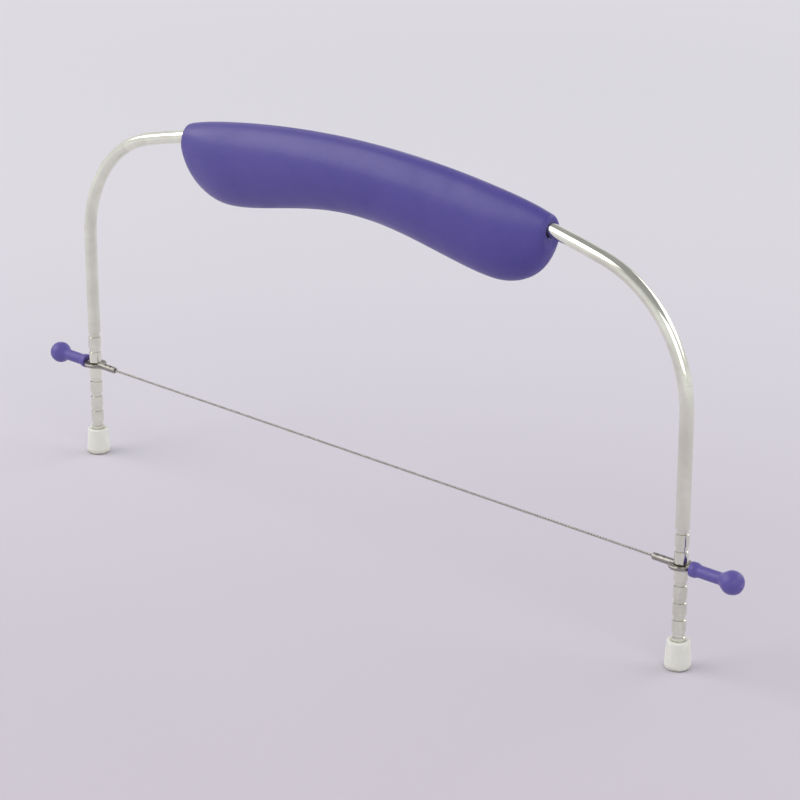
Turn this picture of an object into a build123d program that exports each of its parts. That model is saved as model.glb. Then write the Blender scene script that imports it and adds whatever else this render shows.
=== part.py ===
from build123d import *
import math
import os

os.makedirs("parts", exist_ok=True)

# A hand-held cake leveler. A bent steel rod stands on two capped feet, a two-piece moulded grip
# hangs on its arched top, and a taut cutting wire runs between its grooved legs. An eye at each end
# of the wire goes round the leg, so that the wire sets to any of the grooves.
# X runs from leg to leg, -Y is the front, and Z is up from the work surface. The origin is on that
# surface, midway between the feet. All sizes are in millimetres.

# Driving dimensions: the frame
frame_width = 304.8
frame_height = 158.75
rod_diameter = 5.0
corner_radius = 48.5
arch_radius = 460.0
rod_end_chamfer = 0.6

# Grooves that set the height of the cut
groove_count = 7
groove_pitch = 6.35
lowest_cut = 12.7
groove_depth = 0.45
groove_floor_width = 1.5
groove_flank = 0.25
cut_height = 38.1

# Feet
foot_diameter = 9.6
foot_height = 10.4
foot_floor = 2.0
foot_mouth_wall = 1.5
foot_sole_rounding = 1.2
foot_mouth_rounding = 0.4
foot_bore_clearance = 0.05

# Grip
grip_length = 180.0
grip_depth = 32.4
grip_thickness = 19.8
grip_cover = 5.5
grip_wall = 2.2
grip_tip_rounding = 1.4
grip_seam_width = 0.5
grip_seam_depth = 0.3
grip_end_stop = 10.5
rod_channel_clearance = 0.1
rod_channel_mouth = 0.35
rod_channel_mouth_angle = 45

# Cradle ribs inside the grip
rib_thickness = 1.8
rib_span = 148.0
rib_count = 6
rib_below_rod = 3.2

# Screws that close the grip
screw_count = 3
screw_spacing = 58.0
screw_drop = 18.0
screw_radius = 1.45
screw_reach = 6.2
screw_tip_clearance = 0.5
screw_hole_clearance = 0.15
pilot_clearance = 0.05
screw_head_radius = 2.7
screw_head_height = 1.8
screw_head_seat = 6.0
screw_head_clearance = 0.3
screw_head_rounding = 0.5
screw_slot_length = 3.2
screw_slot_width = 0.7
screw_slot_depth = 0.9
screw_tip_bevel = 0.5
boss_wall = 1.4

# Locating pins between the screws, on the front half
pin_radius = 1.4
pin_length = 3.0
pin_drop = 19.0
pin_clearance = 0.1
pin_end_clearance = 0.4
pin_boss_wall = 1.4
pin_tip_bevel = 0.4

# Cutting wire
wire_diameter = 1.0
wire_grip_length = 6.5

# Eye, crimp barrel and tang at each end of the wire
eye_clearance = 0.15
eye_rim = 1.8
eye_thickness = 1.2
eye_chamfer = 0.2
barrel_diameter = 2.6
barrel_length = 7.6
barrel_bore_clearance = 0.03
barrel_mouth_chamfer = 0.3
crimp_width = 1.3
crimp_depth = 0.35
crimp_spacing = 2.8
tang_diameter = 2.2
tang_length = 11.0
tang_ring_width = 1.2
tang_ring_depth = 0.3
tang_ring_spacing = 3.2

# Finger tab on each tang
tab_gap = 0.3
tab_length = 20.7
tab_neck_diameter = 4.4
tab_collar_diameter = 5.4
tab_collar_length = 1.6
tab_knob_diameter = 8.4
tab_knob_length = 8.8
tab_bore_clearance = 0.03
tab_shoulder_shares = (0.6, 1.0)

# One overrun serves every cut that runs out of its solid
overrun = 2.0

# Stations of the grip from its middle to one tip. Each has its place as a share of the half length,
# and its depth, thickness and cover over the rod as shares of the sizes above
station_shares = (0.0, 0.15, 0.3, 0.42, 0.54, 0.62, 0.69, 0.76, 0.83, 0.89, 0.94, 0.975, 1.0)
depth_shares = (0.855, 0.87, 0.91, 0.95, 0.985, 1.0, 1.0, 0.98, 0.92, 0.825, 0.7, 0.56, 0.37)
thickness_shares = (1.0, 0.995, 0.985, 0.975, 0.965, 0.955, 0.945, 0.915, 0.85, 0.765, 0.67, 0.58, 0.47)
cover_shares = (1.0, 1.0, 1.0, 1.0, 1.0, 1.0, 1.0, 1.0, 1.0, 0.99, 0.96, 0.92, 0.86)

# Derived sizes of the rod
rod_radius = rod_diameter / 2
leg_x = frame_width / 2 - rod_radius
crown_z = frame_height - grip_cover
arch_centre_z = crown_z - arch_radius
corner_x = leg_x - corner_radius
centre_distance = arch_radius - corner_radius
corner_z = arch_centre_z + math.sqrt(centre_distance**2 - corner_x**2)
blend_x = corner_x * arch_radius / centre_distance
blend_z = arch_centre_z + (corner_z - arch_centre_z) * arch_radius / centre_distance
groove_middle_z = lowest_cut + groove_pitch * (groove_count - 1) / 2


def rod_z(x):
    """Height of the arched rod's centre line above the place x."""
    return arch_centre_z + math.sqrt(arch_radius**2 - x**2)


def grip_top_z(x, cover=grip_cover):
    """Height of the grip's crown line, for its cover over the arched rod."""
    return arch_centre_z + math.sqrt((arch_radius + cover) ** 2 - x**2)


# The bent rod, with a set of grooves turned in each leg
with BuildPart() as frame_rod:
    with BuildLine(Plane.XZ) as rod_path:
        Line((-leg_x, foot_floor), (-leg_x, corner_z))
        TangentArc((-leg_x, corner_z), (-blend_x, blend_z), tangent=(0, 1))
        ThreePointArc((-blend_x, blend_z), (0, crown_z), (blend_x, blend_z))
        TangentArc((leg_x, corner_z), (blend_x, blend_z), tangent=(0, 1))
        Line((leg_x, corner_z), (leg_x, foot_floor))
    with BuildSketch(Plane.XY.offset(foot_floor)):
        with Locations((-leg_x, 0)):
            Circle(rod_radius)
    sweep(path=rod_path.wires()[0])
    chamfer(frame_rod.faces().group_by(Axis.Z)[0].edges(), rod_end_chamfer)
    for side in (-1, 1):
        with BuildSketch(Plane.XZ) as groove_sections:
            with Locations((side * leg_x, groove_middle_z)):
                with GridLocations(0, groove_pitch, 1, groove_count):
                    Polygon(
                        (rod_radius - groove_depth, -groove_floor_width / 2),
                        (rod_radius, -groove_floor_width / 2 - groove_flank),
                        (rod_radius + groove_depth, -groove_floor_width / 2 - groove_flank),
                        (rod_radius + groove_depth, groove_floor_width / 2 + groove_flank),
                        (rod_radius, groove_floor_width / 2 + groove_flank),
                        (rod_radius - groove_depth, groove_floor_width / 2),
                        align=None,
                    )
        revolve(axis=Axis((side * leg_x, 0, 0), (0, 0, 1)), mode=Mode.SUBTRACT)
frame_rod.part.label = "frame_rod"
export_step(frame_rod.part, "parts/frame_rod.step")


# A cap on the foot of each leg
foot_bore_radius = rod_radius + foot_bore_clearance
foot_mouth_radius = foot_bore_radius + foot_mouth_wall
for side, side_name in ((-1, "left"), (1, "right")):
    with BuildPart() as foot:
        with BuildSketch(Plane.XZ) as foot_section:
            with BuildLine():
                Polyline(
                    (0, 0),
                    (foot_diameter / 2, 0),
                    (foot_mouth_radius, foot_height),
                    (foot_bore_radius, foot_height),
                    (foot_bore_radius, foot_floor),
                    (0, foot_floor),
                    close=True,
                )
            make_face()
            fillet(foot_section.vertices().group_by(Axis.Y)[0].sort_by(Axis.X)[-1], foot_sole_rounding)
            fillet(foot_section.vertices().group_by(Axis.Y)[-1].sort_by(Axis.X)[-1], foot_mouth_rounding)
        revolve(axis=Axis.Z)
    foot_part = foot.part.moved(Location((side * leg_x, 0, 0)))
    foot_part.label = f"foot_{side_name}"
    export_step(foot_part, f"parts/foot_{side_name}.step")


# Stations of the grip from tip to tip: place, height of the crown, depth and thickness
half_stations = []
for station, depth, thickness, cover in zip(station_shares, depth_shares, thickness_shares, cover_shares):
    x = station * grip_length / 2
    crown = grip_top_z(x, cover * grip_cover)
    half_stations.append((x, crown, depth * grip_depth, thickness * grip_thickness))
mirrored_stations = [(-x, crown, depth, thickness) for x, crown, depth, thickness in half_stations[:0:-1]]
grip_stations = mirrored_stations + half_stations

# The outer form of the grip's front half, lofted along the arch. Each section is half an ellipse
# whose two corners at the parting plane are bevelled, so that the seam shows as a fine groove.
with BuildPart() as grip_half:
    for x, crown, depth, thickness in grip_stations:
        keel = crown - depth
        lip_angle = math.degrees(math.acos(grip_seam_width / thickness))
        with BuildSketch(Plane.YZ.offset(x)):
            with BuildLine():
                outline = EllipticalCenterArc(
                    (0, (crown + keel) / 2),
                    thickness / 2,
                    depth / 2,
                    start_angle=180 - lip_angle,
                    arc_size=2 * lip_angle,
                )
                Polyline(outline @ 1, (0, keel + grip_seam_depth), (0, crown - grip_seam_depth), outline @ 0)
            make_face()
    loft()
    tips = grip_half.faces().sort_by(Axis.X)
    rims = [tip.edges().sort_by(SortBy.LENGTH)[-1] for tip in (tips[0], tips[-1])]
    fillet(rims, grip_tip_rounding)

# The hollow inside it, one wall smaller all round and stopped short of the tips
cavity_half_length = grip_length / 2 - grip_end_stop
with BuildPart() as grip_hollow:
    for x, crown, depth, thickness in grip_stations:
        with BuildSketch(Plane.YZ.offset(x)):
            with Locations((0, crown - depth / 2)):
                Ellipse(thickness / 2 - grip_wall, depth / 2 - grip_wall)
    loft()
    split(bisect_by=Plane.YZ.offset(cavity_half_length), keep=Keep.BOTTOM)
    split(bisect_by=Plane.YZ.offset(-cavity_half_length), keep=Keep.TOP)

# The channel that the rod runs in, eased at its two mouths
channel_radius = rod_radius + rod_channel_clearance
channel_x = grip_length / 2 + overrun
with BuildPart() as rod_channel:
    with BuildLine(Plane.XZ) as channel_path:
        ThreePointArc((-channel_x, rod_z(channel_x)), (0, crown_z), (channel_x, rod_z(channel_x)))
    channel_line = channel_path.line
    with BuildSketch(Plane(origin=channel_line @ 0, z_dir=channel_line % 0)):
        Circle(channel_radius)
    sweep(path=channel_line)
    for end, inward in ((0, channel_line % 0), (1, -(channel_line % 1))):
        with BuildSketch(Plane(origin=channel_line @ end, z_dir=inward)):
            Circle(channel_radius + overrun + rod_channel_mouth)
        extrude(amount=overrun + 2 * rod_channel_mouth, taper=rod_channel_mouth_angle)

# Ribs that cradle the rod, and bosses for the screws
rib_pitch = rib_span / (rib_count - 1)
rib_places = [(index - (rib_count - 1) / 2) * rib_pitch for index in range(rib_count)]
screw_places = [(index - (screw_count - 1) / 2) * screw_spacing for index in range(screw_count)]
pin_places = [(first + second) / 2 for first, second in zip(screw_places, screw_places[1:])]
head_hole_radius = screw_head_radius + screw_head_clearance
with BuildPart() as grip_ribs:
    for x in rib_places:
        with BuildSketch(Plane.YZ.offset(x)):
            with Locations((0, rod_z(x) - rod_radius - rib_below_rod)):
                Rectangle(grip_thickness, grip_depth, align=(Align.CENTER, Align.MIN))
        extrude(amount=rib_thickness / 2, both=True)
    for x in screw_places:
        with BuildSketch(Plane.XZ):
            with Locations((x, grip_top_z(x) - screw_drop)):
                Circle(head_hole_radius + boss_wall)
        extrude(amount=grip_thickness / 2, both=True)
    for x in pin_places:
        with BuildSketch(Plane.XZ):
            with Locations((x, grip_top_z(x) - pin_drop)):
                Circle(pin_radius + pin_clearance + pin_boss_wall)
        extrude(amount=grip_thickness / 2, both=True)

# All the space inside the grip: the hollow less the ribs and bosses, and the channel
with BuildPart() as grip_space:
    add(grip_hollow.part)
    add(grip_ribs.part, mode=Mode.SUBTRACT)
    add(rod_channel.part)

# Front half, with blind pilot holes for the screws, and pins that locate the back half
with BuildPart() as handle_front:
    add(grip_half.part)
    add(grip_space.part, mode=Mode.SUBTRACT)
    for x in screw_places:
        with BuildSketch(Plane.XZ.offset(-overrun)):
            with Locations((x, grip_top_z(x) - screw_drop)):
                Circle(screw_radius + pilot_clearance)
        extrude(amount=overrun + screw_reach + screw_tip_clearance, mode=Mode.SUBTRACT)
    for x in pin_places:
        with BuildSketch(Plane.XZ.offset(overrun)):
            with Locations((x, grip_top_z(x) - pin_drop)):
                Circle(pin_radius)
        extrude(amount=-(overrun + pin_length))
    pin_tips = handle_front.faces().filter_by(Axis.Y).group_by(Axis.Y)[-1]
    chamfer(pin_tips.edges(), pin_tip_bevel)
handle_front.part.label = "handle_front"
export_step(handle_front.part, "parts/handle_front.step")

# Back half, with counterbored holes that hide the screw heads, and sockets for the pins
with BuildPart() as handle_back:
    mirror(grip_half.part, about=Plane.XZ)
    add(grip_space.part, mode=Mode.SUBTRACT)
    for x in pin_places:
        with BuildSketch(Plane.XZ.offset(overrun)):
            with Locations((x, grip_top_z(x) - pin_drop)):
                Circle(pin_radius + pin_clearance)
        extrude(amount=-(overrun + pin_length + pin_end_clearance), mode=Mode.SUBTRACT)
    for x in screw_places:
        with BuildSketch(Plane.XZ.offset(overrun)):
            with Locations((x, grip_top_z(x) - screw_drop)):
                Circle(screw_radius + screw_hole_clearance)
        extrude(amount=-(overrun + grip_thickness), mode=Mode.SUBTRACT)
        with BuildSketch(Plane.XZ.offset(-screw_head_seat)):
            with Locations((x, grip_top_z(x) - screw_drop)):
                Circle(head_hole_radius)
        extrude(amount=-grip_thickness, mode=Mode.SUBTRACT)
handle_back.part.label = "handle_back"
export_step(handle_back.part, "parts/handle_back.step")


# Screws, all in one node as separate solids
with BuildPart() as screw:
    with BuildSketch(Plane.XY):
        Circle(screw_head_radius)
    extrude(amount=screw_head_height)
    fillet(screw.faces().sort_by(Axis.Z)[-1].edges(), screw_head_rounding)
    with BuildSketch(Plane.XY):
        Circle(screw_radius)
    extrude(amount=-(screw_head_seat + screw_reach))
    chamfer(screw.faces().sort_by(Axis.Z)[0].edges(), screw_tip_bevel)
    with BuildSketch(Plane.XY.offset(screw_head_height - screw_slot_depth)):
        Rectangle(screw_slot_length, screw_slot_width)
        Rectangle(screw_slot_width, screw_slot_length)
    extrude(amount=screw_slot_depth + overrun, mode=Mode.SUBTRACT)
with BuildPart() as handle_screws:
    for x in screw_places:
        screw_plane = Plane(
            origin=(x, screw_head_seat, grip_top_z(x) - screw_drop), x_dir=(1, 0, 0), z_dir=(0, 1, 0)
        )
        add(screw_plane.location * screw.part)
handle_screws.part.label = "handle_screws"
export_step(handle_screws.part, "parts/handle_screws.step")


# The eye that goes round a leg, with the wire's crimp barrel inside and a tang outside.
# It is drawn with the leg on the Z axis and the tang towards +X.
eye_bore_radius = rod_radius + eye_clearance
eye_radius = eye_bore_radius + eye_rim
barrel_end = eye_radius + barrel_length
tang_end = eye_radius + tang_length
with BuildPart() as anchor:
    with BuildSketch(Plane.XY.offset(-eye_thickness / 2)):
        Circle(eye_radius)
    extrude(amount=eye_thickness)
    chamfer(anchor.edges().filter_by(GeomType.CIRCLE), eye_chamfer)
    with BuildSketch(Plane.YZ.offset(-barrel_end)):
        Circle(barrel_diameter / 2)
    extrude(amount=barrel_end)
    chamfer(anchor.faces().sort_by(Axis.X)[0].edges(), barrel_mouth_chamfer)
    with BuildSketch(Plane.YZ):
        Circle(tang_diameter / 2)
    extrude(amount=tang_end)
    with BuildSketch(Plane.XY.offset(-barrel_diameter)):
        Circle(eye_bore_radius)
    extrude(amount=2 * barrel_diameter, mode=Mode.SUBTRACT)
    with BuildSketch(Plane.YZ.offset(-barrel_end)):
        Circle(wire_diameter / 2 + barrel_bore_clearance)
    extrude(amount=wire_grip_length, mode=Mode.SUBTRACT)
    # Two pinches above and two below, where the barrel is crimped on the wire
    with BuildSketch(Plane.XZ) as pinches:
        with Locations((-(eye_radius + barrel_end) / 2, 0)):
            with GridLocations(crimp_spacing, barrel_diameter, 2, 2):
                Rectangle(crimp_width, 2 * crimp_depth)
    extrude(amount=barrel_diameter, both=True, mode=Mode.SUBTRACT)
    # Rings cut in the tang, which grip the tab pushed over it
    with BuildSketch(Plane.XZ) as tang_rings:
        with Locations((eye_radius + tang_length / 2, tang_diameter / 2)):
            with GridLocations(tang_ring_spacing, 0, 2, 1):
                Rectangle(tang_ring_width, 2 * tang_ring_depth)
    revolve(axis=Axis.X, mode=Mode.SUBTRACT)

# The finger tab, a neck and a round knob turned about the line of the wire
tab_start = eye_radius + tab_gap
tab_end = tab_start + tab_length
knob_middle = tab_end - tab_knob_length / 2
neck_end = tab_end - tab_knob_length
with BuildPart() as tab:
    with BuildSketch(Plane.XZ) as tab_section:
        with BuildLine():
            collar = Polyline(
                (tab_start, tang_diameter / 2 + tab_bore_clearance),
                (tab_start, tab_collar_diameter / 2),
                (tab_start + tab_collar_length, tab_collar_diameter / 2),
                (tab_start + 2 * tab_collar_length, tab_neck_diameter / 2),
                (neck_end, tab_neck_diameter / 2),
            )
            shoulder = Spline(
                (neck_end, tab_neck_diameter / 2),
                (knob_middle, tab_knob_diameter / 2),
                tangents=((1, 0), (1, 0)),
                tangent_scalars=tab_shoulder_shares,
            )
            crown = Spline(
                (knob_middle, tab_knob_diameter / 2),
                (tab_end, 0),
                tangents=((1, 0), (0, -1)),
            )
            Polyline(
                (tab_end, 0),
                (tang_end + tab_bore_clearance, 0),
                (tang_end + tab_bore_clearance, tang_diameter / 2 + tab_bore_clearance),
                (tab_start, tang_diameter / 2 + tab_bore_clearance),
            )
        make_face()
    revolve(axis=Axis.X)

# An anchor and a tab on each leg, at the height of the cut
for turn, side, side_name in ((180, -1, "left"), (0, 1, "right")):
    on_leg = Location((side * leg_x, 0, cut_height), (0, 0, turn))
    for piece, name in ((anchor.part, "wire_anchor"), (tab.part, "wire_tab")):
        placed = piece.moved(on_leg)
        placed.label = f"{name}_{side_name}"
        export_step(placed, f"parts/{name}_{side_name}.step")


# The cutting wire, held at both ends in the barrels
wire_half_length = leg_x - barrel_end + wire_grip_length
with BuildPart() as cutting_wire:
    with BuildSketch(Plane.YZ.offset(-wire_half_length)):
        with Locations((0, cut_height)):
            Circle(wire_diameter / 2)
    extrude(amount=2 * wire_half_length)
cutting_wire.part.label = "cutting_wire"
export_step(cutting_wire.part, "parts/cutting_wire.step")
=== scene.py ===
import math

import bmesh
import bpy
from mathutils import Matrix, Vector


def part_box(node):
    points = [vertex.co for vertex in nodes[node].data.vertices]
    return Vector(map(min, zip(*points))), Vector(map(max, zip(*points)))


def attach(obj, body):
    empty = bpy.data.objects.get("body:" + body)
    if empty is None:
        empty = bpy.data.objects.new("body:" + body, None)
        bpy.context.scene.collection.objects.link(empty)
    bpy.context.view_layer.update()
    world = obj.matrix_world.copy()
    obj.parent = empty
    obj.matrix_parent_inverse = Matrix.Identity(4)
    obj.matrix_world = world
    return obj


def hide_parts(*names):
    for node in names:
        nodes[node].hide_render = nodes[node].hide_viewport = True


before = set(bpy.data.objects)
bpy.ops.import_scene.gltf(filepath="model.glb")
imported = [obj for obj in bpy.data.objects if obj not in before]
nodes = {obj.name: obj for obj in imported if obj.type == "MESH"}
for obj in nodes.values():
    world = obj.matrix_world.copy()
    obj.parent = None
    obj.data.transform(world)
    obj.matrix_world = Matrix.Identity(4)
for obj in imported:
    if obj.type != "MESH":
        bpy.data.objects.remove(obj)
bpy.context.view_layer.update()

scene = bpy.context.scene


def srgb(red, green, blue):
    # turns 0-255 screen values into the linear colour that a shader wants
    values = []
    for value in (red, green, blue):
        value = value / 255
        values.append(value / 12.92 if value <= 0.04045 else ((value + 0.055) / 1.055) ** 2.4)
    return (*values, 1)


# objects, and where they look
def addObject(name, data):
    thing = bpy.data.objects.new(name, data)
    scene.collection.objects.link(thing)
    return thing


def faceTowards(thing, target):
    # a camera and a lamp both look along their own -Z
    look = Vector(target) - thing.location
    thing.rotation_mode = "QUATERNION"
    thing.rotation_quaternion = look.to_track_quat("-Z", "Y")


def makeMesh(name, bm, material):
    mesh = bpy.data.meshes.new(name)
    bm.to_mesh(mesh)
    bm.free()
    mesh.materials.append(material)
    return mesh


# the camera, at the angle of the photograph
cameraSet = {
    "azimuth": 43.86,  # degrees round from the front, towards the right leg
    "elevation": 20.23,
    "middle": (0, 0, 0.06),  # the point that it stands round
    "distance": 1.045,  # from that point
    "target": (0.0103, 0.0099, 0.0600),
    "lens": 127,
    "sensorWidth": 36,
    "nearest": 0.01,
    "farthest": 100,
}


def makeCamera():
    camData = bpy.data.cameras.new("camera")
    camData.lens = cameraSet["lens"]
    camData.sensor_width = cameraSet["sensorWidth"]
    camData.clip_start = cameraSet["nearest"]
    camData.clip_end = cameraSet["farthest"]
    cam = addObject("camera", camData)
    turn = math.radians(cameraSet["azimuth"])
    lift = math.radians(cameraSet["elevation"])
    level = math.cos(lift)
    back = Vector((math.sin(turn) * level, -math.cos(turn) * level, math.sin(lift)))
    cam.location = Vector(cameraSet["middle"]) + back * cameraSet["distance"]
    faceTowards(cam, cameraSet["target"])
    scene.camera = cam


makeCamera()
print("camera set")


# small helpers for shader nodes; a value may be a number, a colour or another node's output
def addNode(tree, kind, where, **settings):
    node = tree.nodes.new(kind)
    node.location = where
    for key, value in settings.items():
        setattr(node, key, value)
    return node


def feed(tree, socket, value):
    if isinstance(value, bpy.types.NodeSocket):
        tree.links.new(value, socket)
    else:
        socket.default_value = value


def addCoords(tree, where):
    return addNode(tree, "ShaderNodeTexCoord", where).outputs["Object"]


def addNoise(tree, where, coords, scale, detail=2, roughness=0.5, distortion=0):
    noise = addNode(tree, "ShaderNodeTexNoise", where)
    feed(tree, noise.inputs["Vector"], coords)
    feed(tree, noise.inputs["Scale"], scale)
    noise.inputs["Detail"].default_value = detail
    noise.inputs["Roughness"].default_value = roughness
    noise.inputs["Distortion"].default_value = distortion
    return noise


def addMaths(tree, where, operation, first, second, clamp=False):
    node = addNode(tree, "ShaderNodeMath", where, operation=operation, use_clamp=clamp)
    feed(tree, node.inputs[0], first)
    feed(tree, node.inputs[1], second)
    return node.outputs[0]


def addVectorMaths(tree, where, operation, first, second):
    node = addNode(tree, "ShaderNodeVectorMath", where, operation=operation)
    feed(tree, node.inputs[0], first)
    feed(tree, node.inputs[1], second)
    return node


def addRange(tree, where, value, low, high, toLow=0, toHigh=1, smooth=False):
    # 0 where the value is at low, 1 where it is at high, unless told otherwise
    node = addNode(tree, "ShaderNodeMapRange", where)
    node.interpolation_type = "SMOOTHSTEP" if smooth else "LINEAR"
    for label, given in (
        ("Value", value),
        ("From Min", low),
        ("From Max", high),
        ("To Min", toLow),
        ("To Max", toHigh),
    ):
        feed(tree, node.inputs[label], given)
    return node.outputs[0]


def mixColour(tree, where, first, second, mask):
    mix = addNode(tree, "ShaderNodeMix", where, data_type="RGBA")
    # the node keeps its pair of colours in sockets 6 and 7
    factor, firstColour, secondColour = mix.inputs[0], mix.inputs[6], mix.inputs[7]
    feed(tree, firstColour, first)
    feed(tree, secondColour, second)
    feed(tree, factor, mask)
    return mix.outputs[2]


def addBump(tree, where, height, distance, strength, under=None):
    bump = addNode(tree, "ShaderNodeBump", where)
    bump.inputs["Distance"].default_value = distance
    bump.inputs["Strength"].default_value = strength
    feed(tree, bump.inputs["Height"], height)
    if under is not None:
        feed(tree, bump.inputs["Normal"], under)
    return bump.outputs[0]


# effects that more than one finish uses, as node groups
def newGroup(name, inputs, outputs):
    group = bpy.data.node_groups.new(name, "ShaderNodeTree")
    for label, value in inputs.items():
        kind = "NodeSocketVector" if isinstance(value, tuple) else "NodeSocketFloat"
        socket = group.interface.new_socket(name=label, in_out="INPUT", socket_type=kind)
        socket.default_value = value
    for label in outputs:
        group.interface.new_socket(name=label, in_out="OUTPUT", socket_type="NodeSocketFloat")
    start = addNode(group, "NodeGroupInput", (-900, 0))
    end = addNode(group, "NodeGroupOutput", (700, 0))
    return group, start.outputs, end.inputs


# long fine lines, as wiping and sliding leave them
scratchShape = {
    "waver": 0.004,  # how far a line wanders
    "waverScale": 35,
    "detail": 6,
    "roughness": 0.75,
    "lines": (0.56, 0.72),  # noise that rises through these values makes the lines
    "patchScale": 55,
    "patches": (0.42, 0.62),  # and they lie where a broader noise rises through these
}


def makeScratchGroup():
    shape = scratchShape
    inputs = {"Scale": 60.0, "Stretch": (1, 1, 1), "Cover": 0.4}
    group, start, end = newGroup("fineScratches", inputs, ["Mask", "Height"])
    coords = addCoords(group, (-900, -260))
    stretched = addVectorMaths(group, (-700, -120), "MULTIPLY", coords, start["Stretch"])
    warp = addNoise(group, (-700, -360), coords, shape["waverScale"])
    bent = addNode(group, "ShaderNodeMixRGB", (-500, -160), blend_type="LINEAR_LIGHT")
    feed(group, bent.inputs["Fac"], shape["waver"])
    feed(group, bent.inputs["Color1"], stretched.outputs[0])
    feed(group, bent.inputs["Color2"], warp.outputs["Color"])
    lines = addNoise(
        group,
        (-300, 60),
        bent.outputs["Color"],
        start["Scale"],
        detail=shape["detail"],
        roughness=shape["roughness"],
    )
    patches = addNoise(group, (-300, -260), coords, shape["patchScale"])
    thin = addRange(group, (-80, 60), lines.outputs["Fac"], *shape["lines"])
    patchy = addRange(group, (-80, -260), patches.outputs["Fac"], *shape["patches"])
    both = addMaths(group, (140, 0), "MULTIPLY", thin, patchy)
    cover = addMaths(group, (320, 0), "MULTIPLY", both, start["Cover"])
    deep = addMaths(group, (500, -160), "MULTIPLY", cover, -1)
    feed(group, end["Mask"], cover)
    feed(group, end["Height"], deep)
    return group


# soft cloudy patches that change the gloss, as handling leaves them
smudgeShape = {
    "detail": 5,
    "roughness": 0.62,
    "distortion": 0.6,
    "spread": (0.34, 0.68),
}


def makeSmudgeGroup():
    shape = smudgeShape
    inputs = {"Scale": 40.0, "Low": 0.2, "High": 0.35}
    group, start, end = newGroup("handlingSmudges", inputs, ["Value", "Mask"])
    cloud = addNoise(
        group,
        (-480, 0),
        addCoords(group, (-700, -160)),
        start["Scale"],
        detail=shape["detail"],
        roughness=shape["roughness"],
        distortion=shape["distortion"],
    )
    spread = addRange(group, (-240, 0), cloud.outputs["Fac"], *shape["spread"])
    value = addRange(group, (100, 100), spread, 0, 1, start["Low"], start["High"])
    feed(group, end["Value"], value)
    feed(group, end["Mask"], spread)
    return group


# corners, found by how far a rounded normal leans from the true one
edgeShape = {
    "samples": 4,
    "lean": (0.985, 0.90),  # how alike the two normals are, from a flat place to a worn corner
    "broken": (0.35, 0.6),  # a fine noise that rises through these breaks the wear up
}


def makeEdgeGroup():
    shape = edgeShape
    inputs = {"Width": 0.0004, "Grain": 700.0, "Amount": 1.0}
    group, start, end = newGroup("rubbedEdges", inputs, ["Mask"])
    rounded = addNode(group, "ShaderNodeBevel", (-700, 60), samples=shape["samples"])
    feed(group, rounded.inputs["Radius"], start["Width"])
    surface = addNode(group, "ShaderNodeNewGeometry", (-700, -140)).outputs["Normal"]
    lean = addVectorMaths(group, (-480, 0), "DOT_PRODUCT", rounded.outputs[0], surface)
    sharp = addRange(group, (-260, 0), lean.outputs["Value"], *shape["lean"])
    grain = addNoise(group, (-480, -300), addCoords(group, (-700, -360)), start["Grain"])
    broken = addRange(group, (-260, -300), grain.outputs["Fac"], *shape["broken"])
    both = addMaths(group, (0, 0), "MULTIPLY", sharp, broken)
    worn = addMaths(group, (220, 0), "MULTIPLY", both, start["Amount"], clamp=True)
    feed(group, end["Mask"], worn)
    return group


# the faint skin of a polished mould: fine grain over slow waves
skinShape = {
    "grainDetail": 3,
    "waveDetail": 1,
}


def makeSkinGroup():
    inputs = {"Grain": 2600.0, "Waves": 70.0, "Mix": 0.5}
    group, start, end = newGroup("mouldSkin", inputs, ["Height"])
    coords = addCoords(group, (-700, -100))
    fine = addNoise(group, (-460, 120), coords, start["Grain"], detail=skinShape["grainDetail"])
    slow = addNoise(group, (-460, -160), coords, start["Waves"], detail=skinShape["waveDetail"])
    blend = addNode(group, "ShaderNodeMix", (-160, 0))
    # the node keeps its pair of plain numbers in sockets 2 and 3
    factor, first, second = blend.inputs[0], blend.inputs[2], blend.inputs[3]
    feed(group, factor, start["Mix"])
    feed(group, first, fine.outputs["Fac"])
    feed(group, second, slow.outputs["Fac"])
    feed(group, end["Height"], blend.outputs[0])
    return group


# painted shade: colour darkened in narrow gaps, by how closed in they are; on the rod it also stands
# for grime
creviceShape = {
    "samples": 4,
    "openness": (0.85, 0.3),  # from open to fully painted shade
}


def makeCreviceGroup():
    shape = creviceShape
    group, start, end = newGroup("creviceShade", {"Reach": 0.001, "Amount": 1.0}, ["Mask"])
    shade = addNode(group, "ShaderNodeAmbientOcclusion", (-500, 0), samples=shape["samples"])
    feed(group, shade.inputs["Distance"], start["Reach"])
    # the occlusion mask, used as painted shade
    gap = addRange(group, (-240, 0), shade.outputs["AO"], *shape["openness"])
    paintedShade = addMaths(group, (100, 0), "MULTIPLY", gap, start["Amount"], clamp=True)
    feed(group, end["Mask"], paintedShade)
    return group


def makeMouldLineGroup():
    # the fine raised line where two halves of a mould met, in the plane of the frame
    group, start, end = newGroup("mouldLine", {"Width": 0.00012}, ["Height"])
    across = addNode(group, "ShaderNodeSeparateXYZ", (-500, 0))
    feed(group, across.inputs[0], addCoords(group, (-700, 0)))
    away = addNode(group, "ShaderNodeMath", (-300, 0), operation="ABSOLUTE")
    feed(group, away.inputs[0], across.outputs["Y"])
    ridge = addRange(group, (-80, 0), away.outputs[0], 0, start["Width"], 1, 0, smooth=True)
    feed(group, end["Height"], ridge)
    return group


# the small round scar where a moulding was cut from its runner
gateShape = {
    "fullShare": 0.7,  # of its radius, before it fades
}


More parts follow.
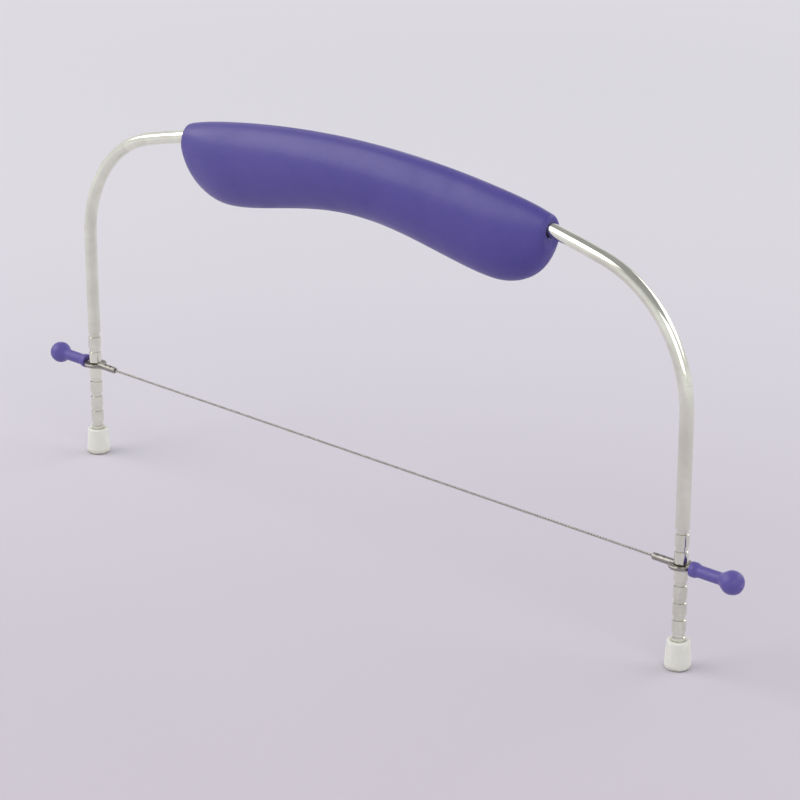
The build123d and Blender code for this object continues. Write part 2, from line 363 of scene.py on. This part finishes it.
def makeGateMarkGroup():
    inputs = {"Centre": (0, 0, 0), "Radius": 0.0008}
    group, start, end = newGroup("gateMark", inputs, ["Mask"])
    # the coordinates are folded, so that one centre serves both ends of the wire
    folded = addNode(group, "ShaderNodeVectorMath", (-700, 0), operation="ABSOLUTE")
    feed(group, folded.inputs[0], addCoords(group, (-900, 0)))
    away = addVectorMaths(group, (-480, 0), "DISTANCE", folded.outputs[0], start["Centre"])
    inner = addMaths(group, (-480, -200), "MULTIPLY", start["Radius"], gateShape["fullShare"])
    spot = addRange(group, (-200, 0), away.outputs["Value"], inner, start["Radius"], 1, 0)
    feed(group, end["Mask"], spot)
    return group


groups = {
    "scratches": makeScratchGroup(),
    "smudges": makeSmudgeGroup(),
    "edges": makeEdgeGroup(),
    "skin": makeSkinGroup(),
    "crevices": makeCreviceGroup(),
    "mouldLine": makeMouldLineGroup(),
    "gateMark": makeGateMarkGroup(),
}
print("shared effects made:", ", ".join(groups))


# helpers for the materials
def newMaterial(name, sockets):
    # the sockets are the shader's own values, the same all over the surface
    mat = bpy.data.materials.new(name)
    mat.use_nodes = True
    tree = mat.node_tree
    shader = tree.nodes["Principled BSDF"]
    for label, value in sockets.items():
        shader.inputs[label].default_value = value
    return mat, tree, shader


def placeGroup(tree, key, where, inputs):
    node = addNode(tree, "ShaderNodeGroup", where, node_tree=groups[key], label=groups[key].name)
    for label, value in inputs.items():
        node.inputs[label].default_value = value
    return node.outputs


def placeClouds(tree, where, values):
    # the smudges that vary a finish between its smoothest and its roughest
    inputs = {"Scale": values["clouds"], "Low": values["smoothest"], "High": values["roughest"]}
    return placeGroup(tree, "smudges", where, inputs)


def connect(tree, shader, colour, rough, normal):
    tree.links.new(colour, shader.inputs["Base Color"])
    tree.links.new(rough, shader.inputs["Roughness"])
    tree.links.new(normal, shader.inputs["Normal"])


# bright nickel plate on the rod
nickelSet = {
    "shader": {"Metallic": 1.0},
    "colour": srgb(248, 250, 234),
    "cloudedColour": srgb(221, 222, 206),
    "grooveShadeAndGrimeColour": srgb(104, 98, 84),  # painted shade in the turned grooves, with some grime
    "rubbedColour": srgb(253, 253, 248),
    "smoothest": 0.08,
    "roughest": 0.18,
    "clouds": 46.0,
    "drawn": {"Scale": 150.0, "Stretch": (1.0, 1.0, 0.06), "Cover": 0.7},  # along the legs
    "turned": {"Scale": 110.0, "Stretch": (0.3, 0.3, 9.0), "Cover": 0.7},  # round the rod
    "edges": {"Width": 0.0003, "Grain": 900.0, "Amount": 0.8},
    "grooves": {"Reach": 0.0011, "Amount": 0.8},
    "scratchDepth": 0.00003,
    "drawnBump": 0.35,
    "turnedBump": 0.3,
    "roughScratches": 0.2,  # how much rougher the marks are
    "roughGrime": 0.3,
}


def makeNickel():
    values = nickelSet
    mat, tree, shader = newMaterial("nickelPlate", values["shader"])
    clouds = placeClouds(tree, (-1100, 200), values)
    drawn = placeGroup(tree, "scratches", (-1100, -60), values["drawn"])
    turned = placeGroup(tree, "scratches", (-1100, -260), values["turned"])
    edges = placeGroup(tree, "edges", (-1100, -460), values["edges"])
    grooveShadeAndGrime = placeGroup(tree, "crevices", (-1100, -660), values["grooves"])
    marks = addMaths(tree, (-860, -140), "MAXIMUM", drawn["Mask"], turned["Mask"])
    dulled = addMaths(tree, (-860, 340), "ADD", clouds["Mask"], marks, clamp=True)
    colour = mixColour(tree, (-620, 340), values["colour"], values["cloudedColour"], dulled)
    colour = mixColour(tree, (-440, 340), colour, values["rubbedColour"], edges["Mask"])
    # painted shade in the grooves, with some grime, darkens the nickel where the occlusion mask is
    # high
    colour = mixColour(tree, (-260, 340), colour, values["grooveShadeAndGrimeColour"], grooveShadeAndGrime["Mask"])
    rough = addMaths(tree, (-620, 60), "MULTIPLY", marks, values["roughScratches"])
    rough = addMaths(tree, (-440, 60), "ADD", clouds["Value"], rough)
    soiled = addMaths(tree, (-440, -100), "MULTIPLY", grooveShadeAndGrime["Mask"], values["roughGrime"])
    rough = addMaths(tree, (-260, 60), "ADD", rough, soiled, clamp=True)
    depth = values["scratchDepth"]
    normal = addBump(tree, (-440, -300), drawn["Height"], depth, values["drawnBump"])
    normal = addBump(tree, (-260, -300), turned["Height"], depth, values["turnedBump"], under=normal)
    connect(tree, shader, colour, rough, normal)
    return mat


# moulded violet plastic on the grip and the tabs
plasticSet = {
    "shader": {
        "IOR": 1.42,
        "Coat Weight": 0.05,
        "Coat Roughness": 0.2,
        "Subsurface Weight": 0.06,
        "Subsurface Scale": 0.003,
    },
    # plain, deep, and the paler drifts where the plastic flowed in the mould
    "gripColours": (srgb(79, 70, 146), srgb(67, 59, 137), srgb(89, 78, 150)),
    "tabColours": (srgb(94, 84, 157), srgb(82, 73, 149), srgb(103, 92, 161)),
    "rubbedColour": srgb(112, 104, 172),
    # the darker violet below is painted shade for the seam groove and other narrow recesses
    "seamShadeColour": srgb(38, 33, 82),
    "smoothest": 0.29,
    "roughest": 0.46,
    "clouds": 34.0,
    "drifts": {"Scale": 14.0, "Low": 0.0, "High": 1.0},
    "driftShare": 0.5,
    "scratches": {"Scale": 210.0, "Stretch": (0.1, 1.0, 1.0), "Cover": 0.6},
    "scratchDepth": 0.00006,
    "scratchBump": 0.45,
    "paleScratches": 0.4,
    "roughScratches": 0.25,
    "edges": {"Width": 0.0004, "Grain": 600.0, "Amount": 0.7},
    "skin": {"Grain": 1300.0, "Waves": 110.0, "Mix": 0.3},
    "skinDepth": 0.00022,
    "skinBump": 0.35,
    "seam": {"Reach": 0.0012, "Amount": 0.8},
    "line": {"Width": 0.00014},  # the mould line on a tab
    "lineHeight": 0.00008,
    "lineBump": 1.0,
    "gateRadius": 0.0009,
    "gateRoughness": 0.6,
}


def makePlastic(name, tab=None):
    values = plasticSet
    plain, deep, flow = values["gripColours"] if tab is None else values["tabColours"]
    mat, tree, shader = newMaterial(name, values["shader"])
    clouds = placeClouds(tree, (-1100, 200), values)
    drifts = placeGroup(tree, "smudges", (-1100, 420), values["drifts"])
    scratches = placeGroup(tree, "scratches", (-1100, -60), values["scratches"])
    edges = placeGroup(tree, "edges", (-1100, -320), values["edges"])
    skin = placeGroup(tree, "skin", (-1100, -520), values["skin"])
    seam = placeGroup(tree, "crevices", (-1100, -720), values["seam"])
    colour = mixColour(tree, (-820, 340), plain, deep, clouds["Mask"])
    drift = addMaths(tree, (-820, 520), "MULTIPLY", drifts["Value"], values["driftShare"])
    colour = mixColour(tree, (-640, 340), colour, flow, drift)
    worn = addMaths(tree, (-640, 180), "MULTIPLY", scratches["Mask"], values["paleScratches"])
    worn = addMaths(tree, (-460, 180), "MAXIMUM", worn, edges["Mask"])
    colour = mixColour(tree, (-440, 340), colour, values["rubbedColour"], worn)
    # painted shade darkens the seam groove and other narrow recesses of the plastic
    colour = mixColour(tree, (-260, 340), colour, values["seamShadeColour"], seam["Mask"])
    rough = addMaths(tree, (-640, 20), "MULTIPLY", scratches["Mask"], values["roughScratches"])
    rough = addMaths(tree, (-440, 20), "ADD", clouds["Value"], rough, clamp=True)
    normal = addBump(tree, (-640, -300), skin["Height"], values["skinDepth"], values["skinBump"])
    depth, strength = values["scratchDepth"], values["scratchBump"]
    normal = addBump(tree, (-440, -300), scratches["Height"], depth, strength, under=normal)
    if tab is not None:
        # a tab is moulded whole, so it has a mould line, and a scar on the tip of its knob
        low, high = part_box(tab)
        tip = (high.x, (low.y + high.y) / 2, (low.z + high.z) / 2)
        line = placeGroup(tree, "mouldLine", (-1100, -920), values["line"])
        scarInputs = {"Centre": tip, "Radius": values["gateRadius"]}
        scar = placeGroup(tree, "gateMark", (-1100, -1080), scarInputs)
        height, strength = values["lineHeight"], values["lineBump"]
        normal = addBump(tree, (-240, -300), line["Height"], height, strength, under=normal)
        normal = addBump(tree, (-60, -300), scar["Mask"], height, strength, under=normal)
        colour = mixColour(tree, (-80, 340), colour, values["rubbedColour"], scar["Mask"])
        torn = addMaths(tree, (-440, -120), "MULTIPLY", scar["Mask"], values["gateRoughness"])
        rough = addMaths(tree, (-240, 20), "MAXIMUM", rough, torn)
    connect(tree, shader, colour, rough, normal)
    return mat


# natural soft plastic on the feet
capSet = {
    "shader": {
        "IOR": 1.5,
        "Subsurface Weight": 0.55,
        "Subsurface Scale": 0.004,
        "Subsurface Radius": (1.0, 0.95, 0.8),
        "Transmission Weight": 0.12,
    },
    "colour": srgb(249, 250, 233),
    # the grey colour below is painted shade for the narrow gaps around the cap
    "gapShadeColour": srgb(198, 197, 184),
    "scuffColour": srgb(150, 146, 134),
    "smoothest": 0.34,
    "roughest": 0.52,
    "clouds": 420.0,
    "gaps": {"Reach": 0.0012, "Amount": 0.6},
    "scuffHeight": 0.0022,  # scuffs reach this far up from the sole
    "roughScuffs": 0.2,
    "skin": {"Grain": 2400.0, "Waves": 220.0, "Mix": 0.4},
    "skinDepth": 0.00012,
    "skinBump": 0.35,
    "line": {"Width": 0.00016},
    "lineHeight": 0.0001,
    "lineBump": 1.0,
}


def makeCapPlastic():
    values = capSet
    mat, tree, shader = newMaterial("naturalCap", values["shader"])
    clouds = placeClouds(tree, (-1100, 200), values)
    gaps = placeGroup(tree, "crevices", (-1100, -60), values["gaps"])
    skin = placeGroup(tree, "skin", (-1100, -300), values["skin"])
    line = placeGroup(tree, "mouldLine", (-1100, -500), values["line"])
    upward = addNode(tree, "ShaderNodeSeparateXYZ", (-920, 500))
    feed(tree, upward.inputs[0], addCoords(tree, (-1100, 500)))
    low = addRange(tree, (-740, 500), upward.outputs["Z"], values["scuffHeight"], 0)
    scuffs = addMaths(tree, (-560, 500), "MULTIPLY", low, clouds["Mask"])
    # painted shade greys the cap in narrow gaps
    colour = mixColour(tree, (-560, 300), values["colour"], values["gapShadeColour"], gaps["Mask"])
    colour = mixColour(tree, (-380, 300), colour, values["scuffColour"], scuffs)
    rough = addMaths(tree, (-560, 60), "MULTIPLY", scuffs, values["roughScuffs"])
    rough = addMaths(tree, (-380, 60), "ADD", clouds["Value"], rough, clamp=True)
    normal = addBump(tree, (-560, -200), skin["Height"], values["skinDepth"], values["skinBump"])
    height, strength = values["lineHeight"], values["lineBump"]
    normal = addBump(tree, (-380, -200), line["Height"], height, strength, under=normal)
    connect(tree, shader, colour, rough, normal)
    return mat


# steels of the wire, its crimped ends and the screws
steelSet = {
    # each steel's dark colour is painted shade for its recesses: between the strands, in the crimps
    # and in the screw slots
    "cutterWire": {
        "colour": srgb(196, 193, 186),
        "recessShadeColour": srgb(92, 88, 80),
        "smoothest": 0.2,
        "roughest": 0.34,
        "shadeReach": 0.0006,
    },
    "dullSteel": {
        "colour": srgb(158, 155, 149),
        "recessShadeColour": srgb(70, 67, 63),
        "smoothest": 0.3,
        "roughest": 0.46,
        "shadeReach": 0.0012,
    },
    "zincScrew": {
        "colour": srgb(188, 190, 194),
        "recessShadeColour": srgb(60, 60, 62),
        "smoothest": 0.24,
        "roughest": 0.36,
        "shadeReach": 0.0015,
    },
}
steelWear = {  # the same on all three
    "shader": {"Metallic": 1.0},
    "clouds": 260.0,
    "scratches": {"Scale": 300.0, "Stretch": (0.15, 1.0, 1.0), "Cover": 0.6},
    "scratchDepth": 0.00003,
    "scratchBump": 0.4,
    "roughScratches": 0.3,
    "shadeAmount": 0.85,
    "edges": {"Width": 0.0002, "Grain": 1500.0, "Amount": 0.7},
    "rubbedColour": srgb(222, 221, 218),
}


def makeSteel(name):
    values = {**steelWear, **steelSet[name]}
    mat, tree, shader = newMaterial(name, values["shader"])
    clouds = placeClouds(tree, (-900, 200), values)
    scratches = placeGroup(tree, "scratches", (-900, -60), values["scratches"])
    shadeInputs = {"Reach": values["shadeReach"], "Amount": values["shadeAmount"]}
    paintedShade = placeGroup(tree, "crevices", (-900, -320), shadeInputs)
    edges = placeGroup(tree, "edges", (-900, -520), values["edges"])
    # painted shade darkens the steel in its recesses
    colour = mixColour(tree, (-600, 300), values["colour"], values["recessShadeColour"], paintedShade["Mask"])
    colour = mixColour(tree, (-380, 300), colour, values["rubbedColour"], edges["Mask"])
    rough = addMaths(tree, (-600, 60), "MULTIPLY", scratches["Mask"], values["roughScratches"])
    rough = addMaths(tree, (-380, 60), "ADD", clouds["Value"], rough, clamp=True)
    depth, strength = values["scratchDepth"], values["scratchBump"]
    normal = addBump(tree, (-380, -200), scratches["Height"], depth, strength)
    connect(tree, shader, colour, rough, normal)
    return mat


finishes = {
    "nickel": makeNickel(),
    "gripPlastic": makePlastic("gripPlastic"),
    "tabPlastic": makePlastic("tabPlastic", tab="wire_tab_right"),
    "cap": makeCapPlastic(),
    "wire": makeSteel("cutterWire"),
    "anchor": makeSteel("dullSteel"),
    "screw": makeSteel("zincScrew"),
}

dressing = {
    "frame_rod": "nickel",
    "handle_front": "gripPlastic",
    "handle_back": "gripPlastic",
    "handle_screws": "screw",
    "foot_left": "cap",
    "foot_right": "cap",
    "wire_anchor_left": "anchor",
    "wire_anchor_right": "anchor",
    "wire_tab_left": "tabPlastic",
    "wire_tab_right": "tabPlastic",
}
for nodeName, finish in dressing.items():
    mesh = nodes[nodeName].data
    mesh.materials.clear()
    mesh.materials.append(finishes[finish])
print("CAD nodes dressed:", len(dressing))


# the twisted cutting wire
wireSet = {
    "strands": 2,
    "twistLength": 0.0026,  # one full turn
    "stepsPerTurn": 14,
    "sides": 10,
}


def addStrand(bm, low, high, phase):
    # a round strand that winds about the middle of the box from low to high
    middle = (low + high) / 2
    # the strands touch one another, and together fill the box
    radiusShare = math.sin(math.pi / wireSet["strands"])  # of a strand's distance from the middle
    away = (high.z - low.z) / 2 / (1 + radiusShare)
    radius = away * radiusShare
    length = high.x - low.x
    steps = int(length / wireSet["twistLength"] * wireSet["stepsPerTurn"])
    rings = []
    for step in range(steps + 1):
        x = low.x + length * step / steps
        turn = math.tau * (x - low.x) / wireSet["twistLength"] + phase
        outward = Vector((0, math.cos(turn), math.sin(turn)))
        around = Vector((0, -math.sin(turn), math.cos(turn)))
        along = Vector((wireSet["twistLength"] / math.tau, 0, 0)) + around * away
        side = along.normalized().cross(outward)
        centre = Vector((x, middle.y, middle.z)) + outward * away
        ring = []
        for corner in range(wireSet["sides"]):
            angle = math.tau * corner / wireSet["sides"]
            point = centre + (outward * math.cos(angle) + side * math.sin(angle)) * radius
            point.x = min(max(point.x, low.x), high.x)  # cut square at both ends
            ring.append(bm.verts.new(point))
        rings.append(ring)
    for first, second in zip(rings, rings[1:]):
        for corner in range(wireSet["sides"]):
            after = (corner + 1) % wireSet["sides"]
            bm.faces.new((first[corner], first[after], second[after], second[corner]))
    bm.faces.new(rings[0][::-1])
    bm.faces.new(rings[-1])


def makeTwistedWire():
    low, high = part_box("cutting_wire")
    bm = bmesh.new()
    for strand in range(wireSet["strands"]):
        addStrand(bm, low, high, math.tau * strand / wireSet["strands"])
    bmesh.ops.recalc_face_normals(bm, faces=bm.faces)
    for face in bm.faces:
        face.smooth = len(face.verts) == 4
    wire = addObject("twisted_wire", makeMesh("twisted_wire", bm, finishes["wire"]))
    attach(wire, "wire_set")
    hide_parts("cutting_wire")


makeTwistedWire()
print("twisted wire made")


# floor, backdrop and overhead
studioSet = {
    "floorShader": {"Roughness": 0.85, "Specular IOR Level": 0.2},
    "shadedNearColour": srgb(201, 195, 205),  # of the floor under the leveler, darkened there as painted shade
    "farColour": srgb(218, 216, 222),
    "shadeCentre": (0.22, -0.23, 0),  # centre of the painted shade on the floor, before the leveler
    "farReach": 0.9,  # metres from there to the palest floor
    "sweep": (0.45, 1.4),  # the floor turns into the backdrop between these
    "backColour": srgb(224, 223, 228),
    "roofColour": srgb(160, 159, 164),  # the studio overhead, seen in the metal
    "roofRise": (0.25, 0.85),  # how far a ray points up where it begins, and where it is full
    "skyColour": (0.97, 0.96, 1.0, 1),
    "skyStrength": 0.58,
    "floorSize": 60,
}


def addShownRays(tree, where):
    # 1 for the rays that show the backdrop, 0 for those that only light things
    x, y = where
    rays = addNode(tree, "ShaderNodeLightPath", where).outputs
    shown = addMaths(tree, (x + 200, y), "MAXIMUM", rays["Is Camera Ray"], rays["Is Glossy Ray"])
    return addMaths(tree, (x + 380, y), "MAXIMUM", shown, rays["Is Transmission Ray"])


def makeFloor():
    values = studioSet
    mat, tree, shader = newMaterial("paleFloor", values["floorShader"])
    coords = addCoords(tree, (-900, 0))
    away = addNode(tree, "ShaderNodeVectorMath", (-700, 0), operation="LENGTH")
    feed(tree, away.inputs[0], coords)
    # painted shade: the floor is darker round a spot before the leveler and paler further off
    beyond = addVectorMaths(tree, (-700, -200), "DISTANCE", coords, values["shadeCentre"])
    spread = addRange(tree, (-500, 0), beyond.outputs["Value"], 0, values["farReach"], smooth=True)
    colour = mixColour(tree, (-300, 0), values["shadedNearColour"], values["farColour"], spread)
    feed(tree, shader.inputs["Base Color"], colour)
    # far off it glows like the backdrop, for the camera and for what metal and plastic reflect
    rise = addRange(tree, (-500, 300), away.outputs["Value"], *values["sweep"], smooth=True)
    fade = addMaths(tree, (-100, 300), "MULTIPLY", rise, addShownRays(tree, (-700, 500)))
    glow = addNode(tree, "ShaderNodeEmission", (100, -300))
    feed(tree, glow.inputs["Color"], values["backColour"])
    feed(tree, glow.inputs["Strength"], 1)
    blend = addNode(tree, "ShaderNodeMixShader", (320, 100))
    feed(tree, blend.inputs["Fac"], fade)
    feed(tree, blend.inputs[1], shader.outputs[0])
    feed(tree, blend.inputs[2], glow.outputs[0])
    out = tree.nodes["Material Output"]
    out.location = (520, 100)
    feed(tree, out.inputs["Surface"], blend.outputs[0])
    bm = bmesh.new()
    bmesh.ops.create_grid(bm, x_segments=1, y_segments=1, size=values["floorSize"] / 2)
    floor = addObject("floor", makeMesh("floor", bm, mat))


def makeSky():
    values = studioSet
    world = bpy.data.worlds.new("studio")
    world.use_nodes = True
    tree = world.node_tree
    tree.nodes.clear()
    lit = addNode(tree, "ShaderNodeBackground", (0, 100))
    feed(tree, lit.inputs["Color"], values["skyColour"])
    feed(tree, lit.inputs["Strength"], values["skyStrength"])
    # what shows is the backdrop, darker overhead
    heading = addNode(tree, "ShaderNodeTexCoord", (-800, -200))
    upward = addNode(tree, "ShaderNodeSeparateXYZ", (-600, -200))
    feed(tree, upward.inputs[0], heading.outputs["Generated"])
    lift = addRange(tree, (-400, -200), upward.outputs["Z"], *values["roofRise"], smooth=True)
    colour = mixColour(tree, (-200, -200), values["backColour"], values["roofColour"], lift)
    seen = addNode(tree, "ShaderNodeBackground", (0, -100))
    feed(tree, seen.inputs["Color"], colour)
    feed(tree, seen.inputs["Strength"], 1)
    mix = addNode(tree, "ShaderNodeMixShader", (200, 0))
    feed(tree, mix.inputs["Fac"], addShownRays(tree, (-800, 300)))
    feed(tree, mix.inputs[1], lit.outputs[0])
    feed(tree, mix.inputs[2], seen.outputs[0])
    out = addNode(tree, "ShaderNodeOutputWorld", (400, 0))
    feed(tree, out.inputs["Surface"], mix.outputs[0])
    scene.world = world


# three soft lamps, all turned to the middle of the leveler
lampSet = {
    "key": {
        "place": (-1.4, -1.1, 1.5),
        "size": (2.4, 1.9),
        "watts": 30,
        "tint": (1.0, 0.985, 0.96),
    },
    "fill": {
        "place": (1.7, -0.9, 1.0),
        "size": (1.5, 1.3),
        "watts": 8,
        "tint": (0.98, 0.99, 1.0),
    },
    "back": {
        "place": (1.0, 1.5, 1.2),
        "size": (2.2, 1.2),
        "watts": 14,
        "tint": (1.0, 1.0, 1.0),
    },
}
lampTarget = (0, 0, 0.07)


def makeLamps():
    for name, values in lampSet.items():
        lampData = bpy.data.lights.new(name, "AREA")
        lampData.shape = "RECTANGLE"
        lampData.size, lampData.size_y = values["size"]
        lampData.energy = values["watts"]
        lampData.color = values["tint"]
        lamp = addObject(name, lampData)
        lamp.location = values["place"]
        faceTowards(lamp, lampTarget)


makeFloor()
makeSky()
makeLamps()
scene.view_settings.view_transform = "Standard"
print("floor, sky and lamps set")
